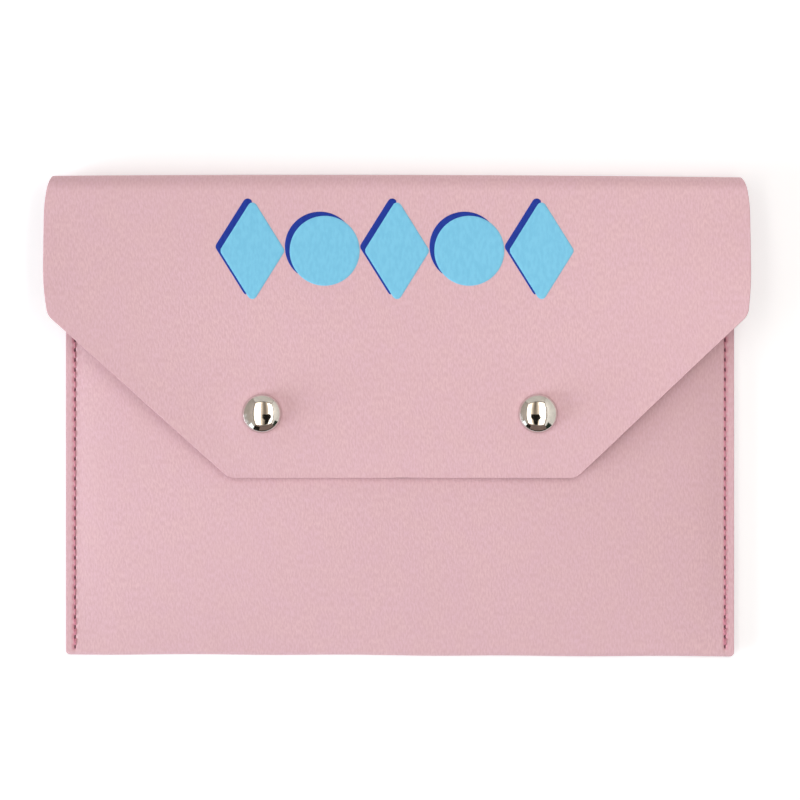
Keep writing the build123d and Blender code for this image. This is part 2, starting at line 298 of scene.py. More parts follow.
def back_lift(reach, half):
    """How far the back stands off the table at a distance from its middle, where it is half wide."""
    return STRIP_LIFT * eased((reach - half + STRIP_WIDTH + BACK_SLOPE) / BACK_SLOPE)


def back_half(y):
    """Half width of the back: the pouch's up to the mouth, then widening to the flap's."""
    share = np.clip((y - MOUTH_Y) / (SPINE_Y - MOUTH_Y), 0, 1)
    return POUCH_HALF + (FLAP_HALF - POUCH_HALF) * share


def back_height(x, y):
    """Height of the back's outer face, which is the lower one."""
    fade = 1 - np.clip((y - MOUTH_Y) / (SPINE_Y - MOUTH_Y), 0, 1)
    return back_lift(np.abs(x - POUCH_MIDDLE), back_half(y)) * fade


# Across the front panel, the share of the way w from the middle to a strip against the distance x.
curve_w = np.linspace(0, 1, 400)
curve_end = 1.5 * BULGE_SHOULDER / STRIP_X
curve_x = (1.5 - curve_end / 2) * curve_w + (curve_end / 2 - 0.5) * curve_w**3


def bulge(y):
    """Height of the front panel's middle over its side strips."""
    least = BOTTOM_FOLD - STRIP_TOP
    run = np.maximum(y - BOTTOM_Y, 0)
    run = np.sqrt(run**2 + BULGE_START**2) - BULGE_START
    return least + (FRONT_BULGE - least) * np.sin(np.clip(run / BULGE_RUN, 0, 1) * math.pi / 2)


def seam_marks(x, y):
    """Dents of both seams: a groove along each, and a pit at each needle hole."""
    dents = 0
    last_hole = FIRST_HOLE + STITCHES * PITCH
    for seam_x in SEAM_X.values():
        off = (x - seam_x) / GROOVE_WIDTH
        from_first, from_last = (y - FIRST_HOLE) / PITCH, (last_hole - y) / PITCH
        ends = eased(from_first + GROOVE_PAST_END) * eased(from_last + GROOVE_PAST_END)
        nearest = np.clip(np.round((y - FIRST_HOLE) / PITCH), 0, STITCHES)
        along = (y - FIRST_HOLE - nearest * PITCH) / HOLE_LENGTH
        pit = HOLE_DEPTH * np.exp(-((x - seam_x) / HOLE_WIDTH) ** 2 - along**2)
        dents = dents + GROOVE_DEPTH * np.exp(-off**2) * ends + pit
    return dents


def panel_ripple(x, y):
    """Soft unevenness of the front panel, with a few faint upright wrinkles low on its left."""
    inside = eased((STRIP_X - np.abs(x - POUCH_MIDDLE)) / PANEL_CALM)
    waves = 0.10 * MM * np.sin(x / (13 * MM) + 0.7) * np.sin(y / (17 * MM) + 0.4)
    waves = waves + 0.07 * MM * np.sin(x / (29 * MM) - y / (21 * MM) + 1.1)
    wrinkles = 0
    for place, height, width in WRINKLES:
        wrinkles = wrinkles + height * MM * np.exp(-((x / MM - place) / width) ** 2)
    low = np.exp(-((y - BOTTOM_Y) / WRINKLE_REACH) ** 2) * eased((y - BOTTOM_Y) / WRINKLE_FADE)
    return inside * (waves + wrinkles * low)


def front_height(x, y):
    """Height of the front panel's outer face, which is the upper one."""
    share = np.abs(x - POUCH_MIDDLE) / STRIP_X
    w = np.interp(share, curve_x, curve_w)
    crown = bulge(y)
    past = np.maximum(share - 1, 0) * 4 / 3 * STRIP_X / (2 * BULGE_SHOULDER)
    height = crown * (1 - w**2 - past)
    soft = BULGE_SOFTNESS * crown
    height = (height + np.sqrt(height**2 + soft**2)) / 2
    level = STRIP_TOP + height + panel_ripple(x, y)
    for snap_x in SNAP_X.values():
        away = np.hypot(x - snap_x, y - SNAP_Y)
        near = 1 - eased((away - SEAT_RADIUS) / SEAT_BLEND)
        level = level + (SEAT_Z - level) * near
    return level


def arc(centre, radius, start, end, count):
    """Points along an arc, from one angle to another."""
    angles = np.linspace(start, end, count)
    return np.stack([centre[0] + radius * np.cos(angles), centre[1] + radius * np.sin(angles)], axis=1)


def rounded_corner(before, corner, after, radius, count=9):
    """Arc that rounds a corner between two straight runs."""
    before, corner, after = (np.array(point, float) for point in (before, corner, after))
    arriving = (corner - before) / np.linalg.norm(corner - before)
    leaving = (after - corner) / np.linalg.norm(after - corner)
    turn = math.atan2(arriving[0] * leaving[1] - arriving[1] * leaving[0], arriving @ leaving)
    start = corner - arriving * radius * math.tan(abs(turn) / 2)
    side = math.copysign(1, turn)
    centre = start + side * radius * np.array([-arriving[1], arriving[0]])
    first = math.atan2(*(start - centre)[::-1])
    return arc(centre, radius, first, first + turn, count)


def flap_edge(side, tip_x):
    """One side of the flap's outline as (x, y) points, from its fold down to its tip."""
    nose_radius = (NOSE_INSET**2 + NOSE_LENGTH**2) / (2 * NOSE_INSET)
    inset = SHOULDER_INSETS[side]
    bow_radius = (inset**2 + SHOULDER_BOW**2) / (2 * inset)
    nose_angle = math.asin(NOSE_LENGTH / nose_radius)
    bow_angle = math.asin((SHOULDER_BOW - FLAP_CORNER) / bow_radius)
    nose = arc((FLAP_HALF - nose_radius, NOSE_Y - NOSE_LENGTH), nose_radius, nose_angle, 0, 16)
    bow = arc((FLAP_HALF - bow_radius, SHOULDER_Y + SHOULDER_BOW), bow_radius, 0, -bow_angle, 10)
    shoulder = (FLAP_HALF - inset, SHOULDER_Y)
    tip = (side * tip_x, TIP_Y)
    shoulder_arc = rounded_corner(bow[-1], shoulder, tip, FLAP_CORNER)
    tip_arc = rounded_corner(shoulder, tip, (0, TIP_Y), FLAP_CORNER)
    points = np.concatenate([nose, bow, shoulder_arc, tip_arc])
    return points[:, 0] * side, points[:, 1]


flap_edges = [flap_edge(-1, TIP_LEFT_X), flap_edge(1, TIP_RIGHT_X)]


def flap_limits(y):
    """Left and right ends of the flap's outline at y."""
    return [np.interp(-y, -edge_y, edge_x) for edge_x, edge_y in flap_edges]


# Flap profile as (length, turn) runs, from the join under its fold to its tip.
roll_turn = math.pi - HUMP_SLOPE
roll_length = ROLL_RADIUS * roll_turn
spine_distance = SPINE_Y - JOIN_Y
roll_end_distance = spine_distance + roll_length
profile_runs = [
    (spine_distance, 0.0),
    (roll_length, roll_turn),
    (HUMP_LENGTH * HUMP_SLOPE / math.sin(HUMP_SLOPE), 2 * HUMP_SLOPE),
    (SETTLE_LENGTH * HUMP_SLOPE / math.sin(HUMP_SLOPE), -HUMP_SLOPE),
]
roll_end_y = SPINE_Y + ROLL_RADIUS * math.sin(HUMP_SLOPE)
level_length = roll_end_y - HUMP_LENGTH - SETTLE_LENGTH - (TIP_Y + TIP_BEND_INSET)
tip_length = (TIP_BEND_INSET - TIP_BEND_LENGTH) / math.cos(TIP_SLOPE)
profile_runs += [
    (level_length, 0.0),
    (TIP_BEND_LENGTH * TIP_SLOPE / math.sin(TIP_SLOPE), TIP_SLOPE),
    (tip_length, 0.0),
]


def traced(runs, y, z, step):
    """Points of a profile made of straight and round runs: distance, y and z, about a step apart."""
    distance, heading = 0.0, 0.0
    rows = [(distance, y, z)]
    for length, turn in runs:
        count = max(1, math.ceil(length / step), math.ceil(abs(turn) / math.radians(4)))
        for _ in range(count):
            middle = heading + turn / count / 2
            chord = length / count
            if turn:
                radius = length / abs(turn)
                chord = 2 * radius * math.sin(abs(turn) / count / 2)
            y += chord * math.cos(middle)
            z += chord * math.sin(middle)
            heading += turn / count
            distance += length / count
            rows.append((distance, y, z))
    return np.array(rows).T


profile_distance, profile_y, profile_z = traced(profile_runs, JOIN_Y, 0.0, PROFILE_STEP)
flap_part = profile_distance > roll_end_distance
top_y = profile_y[flap_part][::-1]
top_z = profile_z[flap_part][::-1]
FLAP_LEVEL = float(np.interp(SNAP_Y, top_y, top_z))


def flap_ripple(x, y):
    """Soft unevenness of the flap and the curl of its free sides, gone at the roll and round the caps."""
    waves = 0.16 * MM * np.sin(x / (21 * MM) + 0.5) * np.sin(y / (19 * MM) + 1.9)
    waves = waves + 0.10 * MM * np.sin(x / (37 * MM) + y / (26 * MM))
    waves = waves * eased((RIPPLE_TOP - y) / RIPPLE_FADE)
    for snap_x in SNAP_X.values():
        away = np.hypot(x - snap_x, y - SNAP_Y)
        dent = CAP_DENT * np.exp(-(((away - CAP_RADIUS) / CAP_DENT_WIDTH) ** 2))
        waves = waves * eased((away - CAP_RADIUS) / CAP_CALM) - dent * (away > CAP_RADIUS)
    past = np.maximum(np.abs(x) - CURL_START, 0) / (FLAP_HALF - CURL_START)
    return waves + FLAP_CURL * past**2 * eased((CURL_TOP - y) / CURL_FADE)


def nose_bow(x, y):
    """How far the roll's nose strays from a straight line, mostly drawn in towards its right end."""
    bow = NOSE_RISE - NOSE_BOW * ((x - NOSE_BOW_X) / FLAP_HALF) ** 2
    return bow * eased((y - SPINE_Y) / ROLL_RADIUS)


def flap_top(x, y):
    """Height of the flap's outer face."""
    return np.interp(y, top_y, top_z) + flap_ripple(x, y)


def add_object(name, data):
    """Object of some data, put in the scene."""
    made = bpy.data.objects.new(name, data)
    bpy.context.scene.collection.objects.link(made)
    return made


def new_piece(name, vertices, faces, materials, smooth_below=35):
    """Object of a closed mesh whose faces point outwards, smooth but for its sharp edges."""
    mesh = bpy.data.meshes.new(name)
    mesh.from_pydata([tuple(v) for v in vertices], [], faces)
    work = bmesh.new()
    work.from_mesh(mesh)
    bmesh.ops.recalc_face_normals(work, faces=work.faces)
    work.to_mesh(mesh)
    work.free()
    mesh.shade_smooth()
    mesh.set_sharp_from_angle(angle=math.radians(smooth_below))
    for material in materials:
        mesh.materials.append(material)
    return add_object(name, mesh)


def band_faces(rings, size):
    """Faces between rings of points, each closed and of the same size."""
    faces = []
    for ring in range(rings - 1):
        near, far = ring * size, (ring + 1) * size
        for k in range(size):
            n = (k + 1) % size
            faces.append((near + k, near + n, far + n, far + k))
    return faces


def put_on(piece, body, node):
    """Puts a rigid piece on its body in place of its node."""
    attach(piece, body)
    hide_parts(node)


def hide_sheet(name, points, flat, joined_row, materials):
    """Sheet of hide from its outer face, a grid of points, with a rounded cut edge.

    flat holds each point's place on the flat hide, and the joined row keeps a square edge.
    The materials are those of the outer face, the inner face and the cut edge."""
    rows, columns = points.shape[:2]
    along = np.gradient(points, axis=0)
    across = np.gradient(points, axis=1)
    outward = np.cross(along, across)
    outward /= np.linalg.norm(outward, axis=2, keepdims=True)
    ring = [(0, j) for j in range(columns)] + [(i, columns - 1) for i in range(1, rows)]
    ring += [(rows - 1, j) for j in range(columns - 2, -1, -1)] + [(i, 0) for i in range(rows - 2, 0, -1)]
    ring_rows, ring_columns = np.array(ring).T
    inner_rows = np.clip(ring_rows, 1, rows - 2)
    inner_columns = np.clip(ring_columns, 1, columns - 2)
    keep = ring_rows == joined_row
    inner_rows[keep] = ring_rows[keep]
    inward = points[inner_rows, inner_columns] - points[ring_rows, ring_columns]
    inward /= np.maximum(np.linalg.norm(inward, axis=1, keepdims=True), 1e-9)
    edge = points[ring_rows, ring_columns]
    edge_out = outward[ring_rows, ring_columns]
    face = points.copy()
    face[ring_rows, ring_columns] += inward * EDGE_ROUND
    lining = face - outward * LEATHER
    loops = [edge - edge_out * depth for depth in (EDGE_ROUND, LEATHER - EDGE_ROUND)]
    vertices = np.concatenate([face.reshape(-1, 3), lining.reshape(-1, 3), *loops])
    places = np.concatenate([flat.reshape(-1, 2), flat.reshape(-1, 2)] + 2 * [flat[ring_rows, ring_columns]])

    faces, kinds = [], []
    count = rows * columns
    for i in range(rows - 1):
        for j in range(columns - 1):
            a, b = i * columns + j, (i + 1) * columns + j
            faces.append((a, b, b + 1, a + 1))
            faces.append((count + a, count + a + 1, count + b + 1, count + b))
            kinds += [0, 1]
    size = len(ring)
    flat_ring = ring_rows * columns + ring_columns
    bands = [flat_ring, 2 * count + np.arange(size), 2 * count + size + np.arange(size), count + flat_ring]
    for upper, lower in zip(bands, bands[1:]):
        for k in range(size):
            n = (k + 1) % size
            faces.append((int(upper[k]), int(upper[n]), int(lower[n]), int(lower[k])))
            kinds.append(2)
    piece = new_piece(name, vertices, faces, materials)
    piece.data.polygons.foreach_set("material_index", kinds)
    uv = piece.data.uv_layers.new(name="flat_hide")
    corner_vertices = np.zeros(len(piece.data.loops), int)
    piece.data.loops.foreach_get("vertex_index", corner_vertices)
    uv.data.foreach_set("uv", places[corner_vertices].ravel())
    return piece


def laid_flat(points, travelled):
    """Places of a sheet's points on its flat hide, from the distance travelled to each row."""
    across = points[..., 0]
    return np.stack([across, np.broadcast_to(travelled[:, None], across.shape)], axis=2)


def spread_from(centre, reach, finest, growth, coarsest):
    """Places from a centre out to a reach, close together at first and wider apart with distance."""
    offsets = [0.0]
    while offsets[-1] < abs(reach):
        offsets.append(offsets[-1] + min(finest + growth * offsets[-1], coarsest))
    return centre + np.array(offsets[1:]) * reach / offsets[-1]


def pouch_columns():
    """Places across the pouch as distances from its middle, closest together at the seams."""
    seam = POUCH_HALF - SEAM_INSET
    inward = spread_from(seam, -seam, FINE_COLUMN, COLUMN_GROWTH, 18 * FINE_COLUMN)[::-1]
    outward = spread_from(seam, SEAM_INSET, FINE_COLUMN, COLUMN_GROWTH, 3 * FINE_COLUMN)
    right = np.concatenate([inward[1:], [seam], outward])
    return np.concatenate([-right[::-1], [0.0], right])


def pouch_across(y):
    """Places across the pouch at y, drawn in a little where its bottom corners are rounded."""
    short = np.clip(1 - (np.asarray(y) - BOTTOM_Y) / CORNER_ROUND, 0, 1)
    drawn_in = CORNER_ROUND * (1 - np.sqrt(1 - short**2))
    return POUCH_MIDDLE + pouch_columns() * (POUCH_HALF - drawn_in) / POUCH_HALF


def bottom_drift(x, y):
    """How far the pouch's bottom edge strays from a straight line, fading out above it."""
    drift = BOTTOM_DRIFT * (1 + np.tanh(x / DRIFT_WIDTH))
    wave = BOTTOM_WAVE * np.cos((x - BOTTOM_WAVE_X) / BOTTOM_WAVE_LENGTH)
    return (wave - drift) * (1 - eased((y - BOTTOM_Y) / DRIFT_FADE))


def pouch_row(x, y, z):
    """Points of one row of the pouch."""
    return np.stack(np.broadcast_arrays(x, y, z), axis=1)


def make_pouch(materials):
    """Front panel, bottom fold and back as one folded sheet of hide."""
    columns = pouch_columns()
    step = PITCH / 5
    down = np.arange(MOUTH_Y, BOTTOM_Y + BOTTOM_FOLD, -step)
    down = down + (FIRST_HOLE + math.floor((MOUTH_Y - FIRST_HOLE) / step) * step - down[1])
    down[0] = MOUTH_Y
    above_mouth = MOUTH_Y + np.array([1.6, 3.2, 4.8]) * MM
    up = np.concatenate([down[::-1], above_mouth, [JOIN_Y]])
    x = POUCH_MIDDLE + columns
    front_end = front_height(x, BOTTOM_Y + BOTTOM_FOLD / 2)
    back_end = back_height(x, BOTTOM_Y)
    radius = (front_end - back_end) / 2
    fold_y = BOTTOM_Y + radius
    last = down[-1]
    quarters = (0.25, 0.5, 0.75)
    rows = []
    for y in [*down, *(last + (fold_y - last) * share for share in quarters)]:
        rows.append(pouch_row(x, y, front_height(x, y) - seam_marks(x, y)))
    for angle in np.linspace(90, 270, 13):
        turn = math.radians(angle)
        y = fold_y + radius * math.cos(turn)
        rows.append(pouch_row(pouch_across(y), y, back_end + radius * (1 + math.sin(turn))))
    for y in [*(fold_y + (last - fold_y) * share for share in quarters), *up]:
        spread = POUCH_MIDDLE + columns * back_half(y) / POUCH_HALF
        rows.append(pouch_row(spread, y, back_height(spread, y) + seam_marks(x, y)))
    points = np.array(rows)
    points[..., 1] += bottom_drift(points[..., 0], points[..., 1])
    middle = len(columns) // 2
    runs = np.linalg.norm(np.diff(points[:, middle], axis=0), axis=1)
    travelled = np.concatenate([[0.0], np.cumsum(runs)])
    flat = laid_flat(points, travelled)
    pouch = hide_sheet("pouch_hide", points, flat, len(points) - 1, materials)
    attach(pouch, "pouch")
    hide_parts("pouch_shell")


def flap_rows():
    """Distances along the flap's profile for its rows, closer together where its outline turns."""
    places = list(np.linspace(0, spine_distance, BACK_ROWS))
    places += list(spine_distance + np.linspace(0, roll_length, ROLL_ROWS)[1:])
    flap_distance = profile_distance[flap_part][::-1]
    heights = list(np.arange(roll_end_y - ROW_STEP, TIP_Y + LAST_ROW, -ROW_STEP))
    heights += list(np.arange(SHOULDER_Y - SHOULDER_BELOW, SHOULDER_Y + SHOULDER_ABOVE, SHOULDER_STEP))
    heights += list(TIP_Y + FLAP_CORNER * (1 - np.cos(np.linspace(0, TIP_ROWS_TURN, TIP_ROWS))))
    places += list(np.interp(sorted(heights), top_y, flap_distance))
    return np.array(sorted(set(np.round(places, 7))))


def make_flap(materials):
    """The widened back above the mouth, the rolled fold and the flap as one sheet of hide."""
    places = flap_rows()
    y_rows = np.interp(places, profile_distance, profile_y)
    z_rows = np.interp(places, profile_distance, profile_z)
    spread = np.linspace(-1, 1, FLAP_COLUMNS)
    spread = spread * (1 + COLUMN_CROWDING * (1 - spread**2))
    shares = (spread + 1) / 2
    rows = []
    for distance, y, z in zip(places, y_rows, z_rows):
        left, right = flap_limits(y)
        on_back = distance < spine_distance
        if on_back:
            left = max(left, POUCH_MIDDLE - back_half(y))
            right = min(right, POUCH_MIDDLE + back_half(y))
        x = left + (right - left) * shares
        height = back_height(x, y) if on_back else np.full_like(x, z)
        if distance > roll_end_distance:
            height = height + flap_ripple(x, y)
        rows.append(np.stack([x, y + nose_bow(x, y), height], axis=1))
    points = np.array(rows)
    flat = laid_flat(points, places)
    flap = hide_sheet("flap_hide", points, flat, 0, materials)
    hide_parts("flap_fold", "flap")
    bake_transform(flap)


def softened(points, radius, steps=4):
    """A closed outline of (radius, height) points with its corners rounded."""
    points = np.array(points)
    made = []
    for before, corner, after in zip(np.roll(points, 1, axis=0), points, np.roll(points, -1, axis=0)):
        from_before, to_after = math.dist(before, corner), math.dist(corner, after)
        amount = min(radius, CORNER_SHARE * min(from_before, to_after))
        enter = corner + (before - corner) / from_before * amount
        leave = corner + (after - corner) / to_after * amount
        for share in np.linspace(0, 1, steps):
            made.append((1 - share) ** 2 * enter + 2 * share * (1 - share) * corner + share**2 * leave)
    return made


def level_ring(x, y, radius, height, count):
    """Points of a level circle about a middle."""
    angles = [2 * math.pi * step / count for step in range(count)]
    return [(x + radius * math.cos(angle), y + radius * math.sin(angle), height) for angle in angles]


def turned(name, x, outline, material, segments=72):
    """Ring or dome turned about a snap's axis, from a closed outline of (radius, height) points."""
    vertices, faces, loops = [], [], []
    for radius, height in outline:
        if radius < 1e-7:
            loops.append([len(vertices)])
            vertices.append((x, SNAP_Y, height))
            continue
        loops.append(list(range(len(vertices), len(vertices) + segments)))
        vertices += level_ring(x, SNAP_Y, radius, height, segments)
    for near, far in zip(loops, loops[1:] + loops[:1]):
        if len(near) == 1 and len(far) == 1:
            continue
        for step in range(segments):
            after = (step + 1) % segments
            corners = ((near, step), (near, after), (far, after), (far, step))
            faces.append(tuple(dict.fromkeys(ring[k % len(ring)] for ring, k in corners)))
    return new_piece(name, vertices, faces, [material], 40)


def set_inputs(tree, node, inputs):
    """Links or sets a node's inputs, given as (name or number, value)."""
    for key, value in inputs:
        if isinstance(value, bpy.types.NodeSocket):
            tree.links.new(value, node.inputs[key])
        else:
            node.inputs[key].default_value = value


def add_node(tree, kind, inputs=(), **settings):
    """Adds a node, sets its properties, and links or sets its inputs."""
    node = tree.nodes.new(kind)
    for key, value in settings.items():
        setattr(node, key, value)
    set_inputs(tree, node, inputs)
    return node


def new_material(name, space="Object"):
    """Material with a Principled shader; returns it, its tree and the places of its pattern."""
    material = bpy.data.materials.new(name)
    material.use_nodes = True
    tree = material.node_tree
    return material, tree, add_node(tree, "ShaderNodeTexCoord").outputs[space]


def shade(tree, inputs):
    """Links or sets inputs of a material's Principled shader, given by name."""
    set_inputs(tree, tree.nodes["Principled BSDF"], inputs.items())


def srgb(red, green, blue):
    """Linear colour of an 8-bit sRGB one."""
    channels = []
    for value in (red, green, blue):
        share = value / 255
        channels.append(share / 12.92 if share <= 0.04045 else ((share + 0.055) / 1.055) ** 2.4)
    return (*channels, 1.0)


def math_node(tree, operation, *values):
    """Output of a Math node on sockets or numbers."""
    return add_node(tree, "ShaderNodeMath", enumerate(values), operation=operation).outputs[0]


def mixed(tree, share, first, second):
    """Output of a colour mix."""
    inputs = [(0, share), (6, first), (7, second)]
    return add_node(tree, "ShaderNodeMix", inputs, data_type="RGBA").outputs[2]


def remapped(tree, value, low, high, to_low, to_high):
    """Output of a smooth Map Range."""
    inputs = enumerate((value, low, high, to_low, to_high))
    return add_node(tree, "ShaderNodeMapRange", inputs, interpolation_type="SMOOTHSTEP").outputs["Result"]


def stretched(tree, place, stretch):
    """Output of a mapping that scales a place along its axes."""
    return add_node(tree, "ShaderNodeMapping", [("Vector", place), ("Scale", stretch)]).outputs[0]


def noise(tree, place, scale, detail=3.0, roughness=0.5, stretch=(1, 1, 1)):
    """Output of a noise texture, its scale in turns per metre."""
    place = stretched(tree, place, stretch)
    inputs = [("Vector", place), ("Scale", scale), ("Detail", detail), ("Roughness", roughness)]
    return add_node(tree, "ShaderNodeTexNoise", inputs).outputs["Fac"]


def bump(tree, height, strength, distance, *under):
    """Output of a bump, laid over another one's output if that is given."""
    inputs = [("Height", height), ("Strength", strength), ("Distance", distance)]
    inputs += [("Normal", normal) for normal in under]
    return add_node(tree, "ShaderNodeBump", inputs).outputs[0]


def seam_place(tree):
    """Distance off the seam, outwards, and the mask of the painted shade in its needle holes."""
    place = add_node(tree, "ShaderNodeTexCoord").outputs["Object"]
    split = add_node(tree, "ShaderNodeSeparateXYZ", [(0, place)]).outputs
    reach = math_node(tree, "ABSOLUTE", math_node(tree, "SUBTRACT", split["X"], POUCH_MIDDLE))
    off = math_node(tree, "SUBTRACT", reach, POUCH_HALF - SEAM_INSET)
    phase = math_node(tree, "DIVIDE", math_node(tree, "SUBTRACT", split["Y"], FIRST_HOLE), PITCH)
    whole = math_node(tree, "ROUND", phase)
    whole = math_node(tree, "MINIMUM", math_node(tree, "MAXIMUM", whole, 0.0), float(STITCHES))
    along = math_node(tree, "MULTIPLY", math_node(tree, "SUBTRACT", phase, whole), PITCH / HOLE_MARK_LENGTH)
    across = math_node(tree, "DIVIDE", off, HOLE_MARK_WIDTH)
    lean = math_node(tree, "MULTIPLY_ADD", along, HOLE_MARK_LEAN, across)
    mark = math_node(tree, "ADD", math_node(tree, "POWER", lean, 2.0), math_node(tree, "POWER", along, 2.0))
    return off, along, remapped(tree, mark, 0.45, 1.3, 0.95, 0)


def seam_tint(tree, base):
    """Colour of the stitched strips: deeper pink, a deeper rose band of painted groove shade beside the
    thread, and painted shade in the needle holes.
    """
    off, along, hole_shade = seam_place(tree)
    within = remapped(tree, math_node(tree, "ABSOLUTE", along), 0.9, 1.9, 1, 0)
    # Painted shade: a deeper rose band along the groove beside the thread.
    from_band = math_node(tree, "ABSOLUTE", math_node(tree, "SUBTRACT", off, GROOVE_SHADE_OUT))
    band = remapped(tree, from_band, 0.2 * MM, 1.2 * MM, 0.6, 0)
    base = mixed(tree, remapped(tree, off, -0.1 * MM, 0.9 * MM, 0, 0.14), base, srgb(222, 168, 181))
    base = mixed(tree, math_node(tree, "MULTIPLY", band, within), base, srgb(218, 138, 158))
    # Painted shade in the needle holes.
    return mixed(tree, hole_shade, base, srgb(*HOLE_SHADE_TONE))


def pebbled_hide(name, stitched):
    """Pink pebbled hide, its pattern laid on the flat hide."""
    material, tree, place = new_material(name, "UV")
    blotch = noise(tree, place, 24, 2.0)
    tint = noise(tree, place, 130, 2.0)
    grain = noise(tree, place, 1950, 0.5, 0.5, (1, 0.34, 1))
    base = mixed(tree, remapped(tree, blotch, 0.3, 0.7, 0, 1), srgb(233, 194, 198), srgb(230, 191, 196))
    base = mixed(tree, remapped(tree, tint, 0.35, 0.65, 0, 0.6), base, srgb(230, 189, 201))
    base = mixed(tree, remapped(tree, grain, 0.3, 0.7, 0, 1), base, srgb(224, 182, 188))
    inputs = [("Vector", stretched(tree, place, (1, 0.62, 1))), ("Scale", 2300), ("Smoothness", 0.6)]
    pebble = add_node(tree, "ShaderNodeTexVoronoi", inputs, feature="SMOOTH_F1").outputs["Distance"]
    # Painted shade: the hide is darker in the valleys between its pebbles.
    pebble_valley_shade = remapped(tree, pebble, 0.4, 0.8, 0, 0.16)
    base = mixed(tree, pebble_valley_shade, base, srgb(209, 161, 171))
    if stitched:
        base = seam_tint(tree, base)
    domes = bump(tree, math_node(tree, "MULTIPLY", pebble, -1.0), 0.22, 0.12 * MM)
    shade(tree, {
        "Base Color": base,
        "Roughness": remapped(tree, grain, 0.3, 0.7, 0.5, 0.6),
        "Specular IOR Level": 0.42,
        "Normal": bump(tree, grain, 0.25, 0.12 * MM, domes),
    })
    return material


def suede():
    """Napped inner face of the hide."""
    material, tree, place = new_material("suede_lining", "UV")
    nap = noise(tree, place, 1500, 5.0, 0.65)
    cloud = noise(tree, place, 60, 2.0)
    base = mixed(tree, cloud, srgb(214, 170, 178), srgb(203, 156, 166))
    base = mixed(tree, remapped(tree, nap, 0.35, 0.7, 0, 0.6), base, srgb(188, 138, 149))
    shade(tree, {
        "Base Color": base,
        "Roughness": remapped(tree, nap, 0.3, 0.7, 0.86, 0.98),
        "Sheen Weight": 0.35,
        "Specular IOR Level": 0.2,
        "Normal": bump(tree, nap, 0.5, 0.2 * MM),
    })
    return material


def cut_edge():
    """Raw cut edge of the hide, fibrous and a little darker."""
    material, tree, place = new_material("cut_edge")
    fibre = noise(tree, place, 2600, 4.0, 0.7)
    share = remapped(tree, fibre, 0.35, 0.7, 0, 1)
    shade(tree, {
        "Base Color": mixed(tree, share, srgb(222, 178, 186), srgb(196, 146, 156)),
        "Roughness": remapped(tree, fibre, 0.3, 0.7, 0.7, 0.9),
        "Specular IOR Level": 0.25,
        "Normal": bump(tree, fibre, 0.7, 0.15 * MM),
    })
    return material


def nickel(name, tone, roughness):
    """Polished nickel plate with faint haze."""
    material, tree, place = new_material(name)
    haze = noise(tree, place, 900, 4.0, 0.6)
    darker = tuple(0.9 * channel for channel in tone)
    share = remapped(tree, haze, 0.4, 0.7, 0, 1)
    shade(tree, {
        "Base Color": mixed(tree, share, (*tone, 1.0), (*darker, 1.0)),
        "Roughness": remapped(tree, haze, 0.3, 0.75, roughness, roughness + 0.05),
        "Metallic": 1.0,
    })
    return material


def print_film(name, tone, deeper):
    """Satin print film with the hide's grain showing through."""
    material, tree, place = new_material(name)
    grain = noise(tree, place, 1100, 1.0, 0.5, (1, 0.42, 1))
    fine = noise(tree, place, 2100, 3.0, 0.6, (1, 0.62, 1))
    shade(tree, {
        "Base Color": mixed(tree, remapped(tree, grain, 0.3, 0.7, 0, 1), tone, deeper),
        "Roughness": remapped(tree, grain, 0.3, 0.7, 0.46, 0.56),
        "Specular IOR Level": 0.25,
        "Normal": bump(tree, fine, 0.2, 0.12 * MM),
    })
    return material


def rose_thread():
    """Waxed rose thread with its ply twist, and painted shade where it dives into the needle holes."""
    material, tree, place = new_material("rose_thread")
    slanted = add_node(tree, "ShaderNodeMapping", [("Vector", place), ("Rotation", (0, 0, 0.6))]).outputs[0]
    inputs = [("Vector", slanted), ("Scale", 1150), ("Distortion", 1.5)]
    ply = add_node(tree, "ShaderNodeTexWave", inputs, bands_direction="Y").outputs["Fac"]
    fuzz = noise(tree, place, 3200, 3.0, 0.7)
    base = mixed(tree, ply, srgb(204, 116, 138), srgb(226, 154, 171))
    base = mixed(tree, remapped(tree, fuzz, 0.4, 0.7, 0, 0.4), base, srgb(232, 156, 174))
    # Painted shade where the thread dives into the needle holes.
    hole_shade = seam_place(tree)[2]
    shade(tree, {
        "Base Color": mixed(tree, hole_shade, base, srgb(*HOLE_SHADE_TONE)),
        "Roughness": remapped(tree, fuzz, 0.3, 0.7, 0.5, 0.7),
        "Sheen Weight": 0.2,
        "Normal": bump(tree, ply, 0.6, 0.08 * MM),
    })
    return material


def make_caps(material):
    """A domed cap on each snap with its tubular rivet through the flap."""
    foot = cap_boxes["left"][0].z
    dome_height = CAP_TOP - FLAP_LEVEL - CAP_EDGE
    dome = [(0.0, CAP_TOP)]
    for angle in np.linspace(0, math.pi / 2, 33)[1:]:
        dome.append((CAP_RADIUS * math.sin(angle), FLAP_LEVEL + CAP_EDGE + dome_height * math.cos(angle)))
    rivet = [
        (CAP_RADIUS - CAP_EDGE, FLAP_LEVEL - CAP_SINK),
        (RIVET_RADIUS, FLAP_LEVEL - CAP_SINK),
        (RIVET_RADIUS, foot + FLARE_THICKNESS),
        (FLARE_RADIUS, foot + FLARE_THICKNESS),
        (FLARE_RADIUS, foot),
        (RIVET_BORE, foot),
        (RIVET_BORE, FLAP_LEVEL + LEATHER),
        (0.0, FLAP_LEVEL + LEATHER),
    ]
    for side, x in SNAP_X.items():
        cap = turned(f"cap_dome_{side}", x, dome + rivet, material, 96)
        put_on(cap, "flap", f"snap_cap_{side}")


